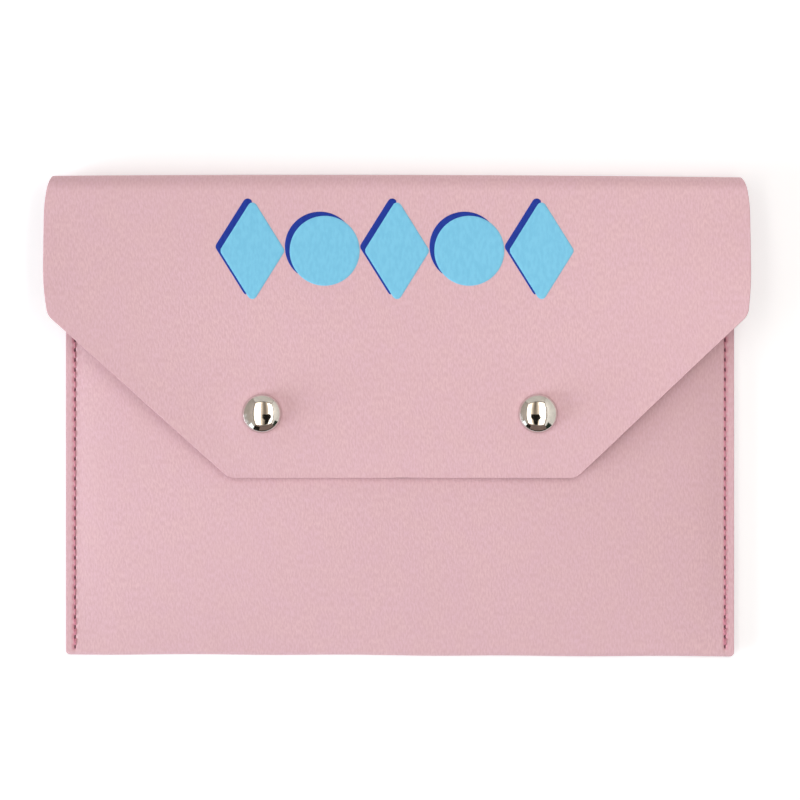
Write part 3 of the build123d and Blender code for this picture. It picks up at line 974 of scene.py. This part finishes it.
def make_sockets(material):
    """The snap's female half under the flap: a ring with a groove for its spring."""
    low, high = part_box("snap_socket_left")
    radius = (high.x - low.x) / 2
    spring_low, spring_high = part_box("snap_spring_left")
    groove = (spring_low.z + spring_high.z) / 2
    hollow = high.z - SOCKET_PLATE
    outline = softened([
        (RIVET_RADIUS + PLAY, high.z),
        (radius, high.z),
        (radius, low.z),
        (LIP_RADIUS, low.z),
        (LIP_RADIUS, groove - GROOVE_HALF),
        (GROOVE_RADIUS, groove - GROOVE_HALF),
        (GROOVE_RADIUS, groove + GROOVE_HALF),
        (LIP_RADIUS, groove + GROOVE_HALF),
        (LIP_RADIUS, hollow),
        (RIVET_RADIUS + PLAY, hollow),
    ], SOCKET_ROUND)
    for side, x in SNAP_X.items():
        ring = turned(f"socket_ring_{side}", x, outline, material)
        put_on(ring, "flap", f"snap_socket_{side}")


def make_springs(material):
    """The split ring of wire in each socket."""
    low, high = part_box("snap_spring_left")
    ring_radius = (high.x - low.x - SPRING_WIRE) / 2
    height = (low.z + high.z) / 2
    sides, steps = 10, 56
    ends = [tuple(range(sides)), tuple(range((steps - 1) * sides, steps * sides))]
    for side, x in SNAP_X.items():
        vertices = []
        for turn in np.linspace(0, 2 * math.pi - SPRING_OPENING, steps):
            for angle in np.linspace(0, 2 * math.pi, sides, endpoint=False):
                reach = ring_radius + SPRING_WIRE / 2 * math.cos(angle)
                rise = SPRING_WIRE / 2 * math.sin(angle)
                vertices.append((x + reach * math.cos(turn), SNAP_Y + reach * math.sin(turn), height + rise))
        faces = band_faces(steps, sides) + ends
        spring = new_piece(f"ring_spring_{side}", vertices, faces, [material], 50)
        put_on(spring, "flap", f"snap_spring_{side}")


def make_studs(material):
    """The snap's male half on the front panel, and the eyelet that holds it from inside."""
    low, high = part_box("snap_stud_left")
    post_low, post_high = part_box("snap_post_left")
    flange = low.z + STUD_FLANGE
    flange_radius = (high.x - low.x) / 2
    stud = softened([
        (POST_RADIUS + PLAY, low.z),
        (flange_radius, low.z),
        (flange_radius, flange),
        (STUD_NECK, flange),
        (STUD_NECK, high.z - STUD_HEAD_HEIGHT),
        (STUD_HEAD, high.z - STUD_HEAD_HEIGHT),
        (STUD_HEAD, high.z),
        (STUD_BORE, high.z),
        (STUD_BORE, flange),
        (POST_RADIUS + PLAY, flange),
    ], STUD_ROUND)
    post = softened([
        (POST_BORE, post_low.z),
        ((post_high.x - post_low.x) / 2, post_low.z),
        ((post_high.x - post_low.x) / 2, post_low.z + POST_FLANGE),
        (POST_RADIUS, post_low.z + POST_FLANGE),
        (POST_RADIUS, flange),
        (POST_FLARE, flange),
        (POST_FLARE, post_high.z),
        (POST_BORE, post_high.z),
    ], POST_ROUND)
    for side, x in SNAP_X.items():
        for kind, name, outline in (("stud", "stud_ring", stud), ("post", "post_eyelet", post)):
            part = turned(f"{name}_{side}", x, outline, material)
            put_on(part, "pouch", f"snap_{kind}_{side}")


def motif_outline(number):
    """Outline of one motif about its own middle, anticlockwise: lozenges and discs in turn."""
    if number % 2 == 0:
        low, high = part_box("print_face_2")
        return arc((0, 0), (high.x - low.x) / 2, 0, 2 * math.pi, 73)[:-1]
    half_width, half_height = LOZENGE_WIDTH / 2, LOZENGE_HEIGHT / 2
    corners = [(half_width, 0), (0, half_height), (-half_width, 0), (0, -half_height)]
    points = []
    for k, corner in enumerate(corners):
        bend = rounded_corner(corners[k - 1], corner, corners[(k + 1) % 4], LOZENGE_CORNER, 7)
        following = rounded_corner(corner, corners[(k + 1) % 4], corners[(k + 2) % 4], LOZENGE_CORNER, 7)
        side = [bend[-1] + (following[0] - bend[-1]) * share for share in np.linspace(0, 1, 13)[1:-1]]
        points += [*bend, *side]
    return np.array(points)


def reach_to(outline, direction):
    """Distance from the middle of an outline to its edge in a direction."""
    start, end = outline, np.roll(outline, -1, axis=0)
    run = end - start
    across = direction[0] * run[:, 1] - direction[1] * run[:, 0]
    safe = np.where(np.abs(across) < 1e-15, 1e-15, across)
    distance = (start[:, 0] * run[:, 1] - start[:, 1] * run[:, 0]) / safe
    share = (start[:, 0] * direction[1] - start[:, 1] * direction[0]) / safe
    hits = (share > -1e-6) & (share < 1 + 1e-6) & (distance > 0)
    return float(distance[hits].max())


def film_face(name, middle, outline, material):
    """Print film over an outline, lying on the flap, with a soft edge."""
    size = len(outline)
    mean = float(np.linalg.norm(outline, axis=1).mean())
    shares = [0.15, 0.3, 0.45, 0.6, 0.72, 0.84, 0.93, 1 - FILM_EDGE / mean]
    rings = [(share, FILM) for share in shares] + [(1.0, FILM_SHOULDER), (1.0, FILM_LIFT)]
    rings += [(share, FILM_LIFT) for share in (0.8, 0.6, 0.4, 0.2)]
    vertices = []
    for share, rise in rings:
        x, y = middle[0] + outline[:, 0] * share, middle[1] + outline[:, 1] * share
        vertices += list(zip(x, y, flap_top(x, y) + rise))
    faces = band_faces(len(rings), size)
    for ring, rise in ((0, FILM), (len(rings) - 1, FILM_LIFT)):
        hub = len(vertices)
        vertices.append((*middle, float(flap_top(*middle)) + rise))
        faces += [(hub, ring * size + k, ring * size + (k + 1) % size) for k in range(size)]
    return new_piece(name, vertices, faces, [material], 60)


def film_shadow(name, middle, outline, material):
    """Crescent of print film that shows where a motif's shadow leaves the motif."""
    shifted = outline + np.array([SHADOW_X, SHADOW_Y])
    reaches = np.linalg.norm(shifted, axis=1)
    directions = shifted / reaches[:, None]
    inner = np.array([reach_to(outline, direction) for direction in directions])
    shown = reaches > inner + LEAST_SHADOW
    first = next(k for k in range(len(shown)) if shown[k] and not shown[k - 1])
    order = [(first + k) % len(shown) for k in range(len(shown))]
    order = order[:next(k for k in range(len(order)) if not shown[order[k]])]
    vertices = []
    for k in order:
        width = reaches[k] - inner[k]
        edge = min(FILM_EDGE, width / 4)
        section = [
            (inner[k], FILM_LIFT),
            (inner[k], FILM),
            (inner[k] + width / 2, FILM),
            (reaches[k] - edge, FILM),
            (reaches[k], FILM_SHOULDER),
            (reaches[k], FILM_LIFT),
        ]
        for reach, rise in section:
            x, y = middle[0] + directions[k][0] * reach, middle[1] + directions[k][1] * reach
            vertices.append((x, y, float(flap_top(x, y)) + rise))
    size, steps = len(section), len(order)
    faces = band_faces(steps, size) + [tuple(range(size)), tuple(range((steps - 1) * size, steps * size))]
    return new_piece(name, vertices, faces, [material], 60)


def make_print(light, royal):
    """Row of light motifs on the flap, each with a royal shadow behind its upper left edge."""
    for number in range(1, MOTIFS + 1):
        low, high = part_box(f"print_face_{number}")
        middle = ((low.x + high.x) / 2, (low.y + high.y) / 2)
        outline = motif_outline(number)
        face = film_face(f"light_film_{number}", middle, outline, light)
        shadow = film_shadow(f"royal_film_{number}", middle, outline, royal)
        put_on(face, "flap", f"print_face_{number}")
        put_on(shadow, "flap", f"print_shadow_{number}")


def random_within(tree, reach, seed):
    """Output of a random value from minus a reach to plus that reach."""
    inputs = [(2, math_node(tree, "MULTIPLY", reach, -1.0)), (3, reach), ("Seed", seed)]
    return add_node(tree, "FunctionNodeRandomValue", inputs, data_type="FLOAT").outputs[1]


def stitch_tree():
    """Geometry nodes that lay one arched stitch on each point of a seam."""
    tree = bpy.data.node_groups.new("seam_stitches", "GeometryNodeTree")
    sockets = tree.interface
    sockets.new_socket(name="Seam", in_out="INPUT", socket_type="NodeSocketGeometry")
    for name in ("Pitch", "Thread", "Dip", "Rise", "Flip", "Slant", "Slant Range", "Wander"):
        sockets.new_socket(name=name, in_out="INPUT", socket_type="NodeSocketFloat")
    sockets.new_socket(name="Seed", in_out="INPUT", socket_type="NodeSocketInt")
    sockets.new_socket(name="Material", in_out="INPUT", socket_type="NodeSocketMaterial")
    sockets.new_socket(name="Stitches", in_out="OUTPUT", socket_type="NodeSocketGeometry")
    given = tree.nodes.new("NodeGroupInput").outputs

    reach = math_node(tree, "MULTIPLY", given["Pitch"], STITCH_REACH)
    handle = math_node(tree, "MULTIPLY", given["Pitch"], STITCH_HANDLE)
    depth = math_node(tree, "MULTIPLY", given["Dip"], -1.0)
    ends = []
    for y, z in ((reach, depth), (handle, given["Rise"])):
        for end in (math_node(tree, "MULTIPLY", y, -1.0), y):
            ends.append(add_node(tree, "ShaderNodeCombineXYZ", [("Y", end), ("Z", z)]).outputs[0])
    start, end, start_handle, end_handle = ends
    inputs = [("Resolution", 8), ("Start", start), ("Start Handle", start_handle)]
    inputs += [("End Handle", end_handle), ("End", end)]
    path = add_node(tree, "GeometryNodeCurvePrimitiveBezierSegment", inputs, mode="POSITION")
    radius = math_node(tree, "MULTIPLY", given["Thread"], 0.5)
    ring = add_node(tree, "GeometryNodeCurvePrimitiveCircle", [("Resolution", 7), ("Radius", radius)])
    tube_inputs = [("Curve", path.outputs[0]), ("Profile Curve", ring.outputs[0]), ("Fill Caps", True)]
    tube = add_node(tree, "GeometryNodeCurveToMesh", tube_inputs)

    shift = random_within(tree, given["Wander"], given["Seed"])
    offset = add_node(tree, "ShaderNodeCombineXYZ", [("X", shift)]).outputs[0]
    moved = add_node(tree, "GeometryNodeSetPosition", [("Geometry", given["Seam"]), ("Offset", offset)])
    lean = random_within(tree, given["Slant Range"], math_node(tree, "ADD", given["Seed"], 7.0))
    own = add_node(tree, "GeometryNodeInputNamedAttribute", [("Name", "lean")], data_type="FLOAT").outputs[0]
    angle = math_node(tree, "ADD", math_node(tree, "ADD", lean, given["Slant"]), own)
    rotation = add_node(tree, "ShaderNodeCombineXYZ", [("Y", given["Flip"]), ("Z", angle)]).outputs[0]
    inputs = [("Points", moved.outputs[0]), ("Instance", tube.outputs[0]), ("Rotation", rotation)]
    laid = add_node(tree, "GeometryNodeInstanceOnPoints", inputs)
    real = add_node(tree, "GeometryNodeRealizeInstances", [("Geometry", laid.outputs[0])])
    smooth = add_node(tree, "GeometryNodeSetShadeSmooth", [("Geometry", real.outputs[0])])
    inputs = [("Geometry", smooth.outputs[0]), ("Material", given["Material"])]
    painted = add_node(tree, "GeometryNodeSetMaterial", inputs)
    add_node(tree, "NodeGroupOutput", [("Stitches", painted.outputs[0])])
    return tree


def make_seam(name, node, tree, points, leans, material, settings):
    """One seam's thread: a stitch on each point, made a plain mesh."""
    guide = bpy.data.meshes.new(name)
    guide.from_pydata([tuple(point) for point in points], [], [])
    attribute = guide.attributes.new("lean", "FLOAT", "POINT")
    attribute.data.foreach_set("value", leans)
    source = add_object(name + "_guide", guide)
    modifier = source.modifiers.new("stitches", "NODES")
    modifier.node_group = tree
    identifiers = {item.name: item.identifier for item in tree.interface.items_tree if item.in_out == "INPUT"}
    for key, value in {**settings, "Material": material}.items():
        modifier[identifiers[key]] = value
    evaluated = source.evaluated_get(bpy.context.evaluated_depsgraph_get())
    mesh = bpy.data.meshes.new_from_object(evaluated)
    source.modifiers.clear()
    bpy.data.objects.remove(source)
    put_on(add_object(name, mesh), "pouch", node)


def make_seams(material):
    """Lockstitch along both sides, above and below, doubled over its lowest stitches."""
    tree = stitch_tree()
    middles = FIRST_HOLE + PITCH * (np.arange(STITCHES) + 0.5)
    y = np.concatenate([middles, middles[:BACKTACK]])
    doubled = np.repeat([-1.0, 0.0, 1.0], [BACKTACK, STITCHES - BACKTACK, BACKTACK])
    leans = -BACKTACK_LEAN * doubled
    for seed, (side, seam_x) in enumerate(SEAM_X.items()):
        x = seam_x + BACKTACK_SPREAD * doubled
        for kind, height, flip in (("needle", front_height, 0.0), ("bobbin", back_height, math.pi)):
            points = np.stack([x, y, height(x, y)], axis=1)
            settings = {
                "Pitch": PITCH, "Thread": THREAD, "Dip": STITCH_DIP, "Rise": STITCH_RISE, "Flip": flip,
                "Slant": SLANT, "Slant Range": SLANT_RANGE, "Wander": WANDER, "Seed": seed,
            }
            name, node = f"{kind}_stitches_{side}", f"{kind}_thread_{side}"
            make_seam(name, node, tree, points, leans, material, settings)


def make_camera():
    """Camera straight above the pouch, as in the photograph."""
    camera = add_object("camera", bpy.data.cameras.new("camera"))
    camera.location = CAMERA_PLACE
    camera.data.sensor_width = SENSOR
    camera.data.lens = SENSOR * CAMERA_PLACE[2] / VIEW_WIDTH
    camera.data.clip_start = CLIP_START
    bpy.context.scene.camera = camera


def area_light(name, place, size, radiance, tone, aim=(0, 0, 0)):
    """Rectangular lamp at a place, facing a point, with its brightness as a white card's would be."""
    data = bpy.data.lights.new(name, "AREA")
    data.shape = "RECTANGLE"
    data.size, data.size_y = size
    data.energy = radiance * math.pi * size[0] * size[1]
    data.color = tone
    lamp = add_object(name, data)
    lamp.location = place
    lamp.rotation_euler = (Vector(aim) - Vector(place)).to_track_quat("-Z", "Y").to_euler()
    lamp.visible_camera = False


def studio_paper():
    """White paper whose camera and mirror rays also get a little light of their own."""
    material = bpy.data.materials.new("studio_white")
    material.use_nodes = True
    tree = material.node_tree
    tree.nodes.clear()
    path = add_node(tree, "ShaderNodeLightPath").outputs
    seen = math_node(tree, "MAXIMUM", path["Is Camera Ray"], path["Is Glossy Ray"])
    seen = math_node(tree, "MAXIMUM", seen, path["Is Transmission Ray"])
    paper = add_node(tree, "ShaderNodeBsdfDiffuse", [("Color", (0.9, 0.9, 0.9, 1))])
    glow_strength = math_node(tree, "MULTIPLY", seen, PAPER_GLOW)
    glow = add_node(tree, "ShaderNodeEmission", [("Color", (1, 1, 1, 1)), ("Strength", glow_strength)])
    both = add_node(tree, "ShaderNodeAddShader", [(0, paper.outputs[0]), (1, glow.outputs[0])])
    add_node(tree, "ShaderNodeOutputMaterial", [("Surface", both.outputs[0])])
    return material


def stage_piece(name, vertices, faces, material):
    """Mesh that belongs to the studio and not to the pouch."""
    mesh = bpy.data.meshes.new(name)
    mesh.from_pydata(vertices, [], faces)
    mesh.shade_smooth()
    mesh.materials.append(material)
    piece = add_object(name, mesh)
    return piece


def make_sweep():
    """Round table of white paper that curves up into a low wall."""
    vertices, faces = [(0, 0, -SWEEP_DROP)], []
    profile = [(radius, -SWEEP_DROP) for radius in (*SWEEP_RINGS, SWEEP_RADIUS - SWEEP_BEND)]
    for angle in np.linspace(0.2, math.pi / 2, 8):
        out = SWEEP_RADIUS - SWEEP_BEND + SWEEP_BEND * math.sin(angle)
        profile.append((out, SWEEP_BEND * (1 - math.cos(angle))))
    profile.append((SWEEP_RADIUS, SWEEP_WALL))
    segments = 64
    for radius, height in profile:
        vertices += level_ring(0, 0, radius, height, segments)
    for step in range(segments):
        after = (step + 1) % segments
        faces.append((0, 1 + step, 1 + after))
        for ring in range(len(profile) - 1):
            near, far = 1 + ring * segments, 1 + (ring + 1) * segments
            faces.append((near + step, far + step, far + after, near + after))
    stage_piece("studio_sweep", vertices, faces, studio_paper())


def mirror_board(name, corners, tone, glow=0.0):
    """Board that only shows as a reflection in the polished caps; returns its tree and places."""
    material, tree, place = new_material(name)
    shade(tree, {
        "Base Color": (*tone, 1),
        "Roughness": 1.0,
        "Specular IOR Level": 0.0,
        "Emission Color": (*tone, 1),
        "Emission Strength": glow,
    })
    board = stage_piece(name, corners, [tuple(range(len(corners)))], material)
    board.visible_camera = False
    board.visible_diffuse = False
    board.visible_shadow = False
    board.visible_transmission = False
    return tree, place


def level_board(name, wide, long, height, tone):
    """Level board over the middle of the light tent, from its half width and half length."""
    corners = [(-wide, -long, height), (-wide, long, height), (wide, long, height), (wide, -long, height)]
    return mirror_board(name, corners, tone)


def wall_board(name, side, y_range, z_range, tone, inset=0.0, glow=0.0):
    """Upright rectangular board along the left (-1) or right (1) side of the light tent."""
    x = side * (TENT_HALF_WIDTH - inset)
    (near, far), (low, high) = y_range, z_range
    mirror_board(name, [(x, near, low), (x, near, high), (x, far, high), (x, far, low)], tone, glow)


def end_board(name, y, x_range, z_range, tone):
    """Upright rectangular board across the front or the back of the light tent."""
    (left, right), (low, high) = x_range, z_range
    mirror_board(name, [(left, y, low), (right, y, low), (right, y, high), (left, y, high)], tone)


def make_tent():
    """Boards of a small light tent, with its window, its dark seams and the camera's dark body."""
    wide, long, high = TENT_HALF_WIDTH, TENT_HALF_LENGTH, TENT_HEIGHT - TENT_GAP
    inner_wide, inner_long = wide - TENT_FRAME, long - TENT_FRAME
    tree, place = level_board("tent_ceiling", inner_wide, inner_long, TENT_HEIGHT, CEILING_TONE)
    across = add_node(tree, "ShaderNodeSeparateXYZ", [(0, place)]).outputs["X"]
    strip_edge = STRIP_AWAY - STRIP_ACROSS / 2
    halo = remapped(tree, math_node(tree, "ABSOLUTE", across), 0.1 * strip_edge, strip_edge, 0, STRIP_HALO)
    shade(tree, {"Emission Strength": halo})
    level_board("tent_frame", wide, long, TENT_HEIGHT + BOARD_STEP, DARK_TONE)
    wall_board("tent_left", -1, (-long, long), (0, high), WALL_TONE)
    wall_board("tent_right", 1, (-long, long), (0, high), WALL_TONE)
    end_board("tent_back", long, (-wide, wide), (0, high), WALL_TONE)
    end_board("tent_front", -long, (-wide, wide), (0, high), FRONT_TONE)
    end_board("tent_sill", -long + BOARD_STEP, (-wide, wide), (0, SILL_HEIGHT), DARK_TONE)
    wall_board("tent_window", -1, PANE_Y, PANE_Z, PANE_TONE, BOARD_STEP, PANE_GLOW)
    right_seam = (-long, TENT_RIGHT_SEAM_END), (0, TENT_RIGHT_SEAM_HEIGHT)
    wall_board("right_seam", 1, *right_seam, TENT_SEAM_TONE, BOARD_STEP)
    end_board("left_seam", -long + 1.5 * BOARD_STEP, TENT_LEFT_SEAM_X, TENT_LEFT_SEAM_Z, DARK_TONE)
    mirror_board("camera_body", [(x, y, CAMERA_BODY_HEIGHT) for x, y in CAMERA_BODY], DARK_TONE)


def make_studio():
    """White sweep, an even sky, two light strips above the pouch and a cool window low on the left."""
    make_sweep()
    make_tent()
    world = bpy.data.worlds.new("studio")
    world.use_nodes = True
    background = world.node_tree.nodes["Background"]
    background.inputs["Color"].default_value = (*SKY_TONE, 1)
    background.inputs["Strength"].default_value = SKY
    bpy.context.scene.world = world
    half = STRIP_ALONG / 2
    for side, halves in STRIP_LIGHT.items():
        for end, radiance in zip((-1, 1), halves):
            x, y = side * STRIP_AWAY, STRIP_Y + end * half / 2
            place = (x, y, TENT_HEIGHT - LAMP_DROP)
            area_light("strip", place, (STRIP_ACROSS, half), radiance, STRIP_TONE, (x, y, 0))
    area_light("window", WINDOW_PLACE, WINDOW_SIZE, WINDOW, WINDOW_TONE)
    area_light("back_fill", BACK_FILL_PLACE, BACK_FILL_SIZE, BACK_FILL, BACK_FILL_TONE)


bpy.context.scene.view_settings.view_transform = "Standard"
make_camera()
make_studio()
flap_skin = pebbled_hide("pink_hide", False)
pouch_skin = pebbled_hide("stitched_hide", True)
lining = suede()
raw_edge = cut_edge()
bright_nickel = nickel("bright_nickel", (0.74, 0.72, 0.69), 0.04)
drawn_steel = nickel("drawn_steel", (0.52, 0.51, 0.5), 0.22)

make_pouch([pouch_skin, lining, raw_edge])
make_flap([flap_skin, lining, raw_edge])
make_caps(bright_nickel)
make_sockets(bright_nickel)
make_springs(drawn_steel)
make_studs(bright_nickel)
make_print(
    print_film("light_blue_film", srgb(130, 209, 240), srgb(123, 202, 235)),
    print_film("royal_blue_film", srgb(12, 52, 156), srgb(8, 46, 149)),
)
make_seams(rose_thread())
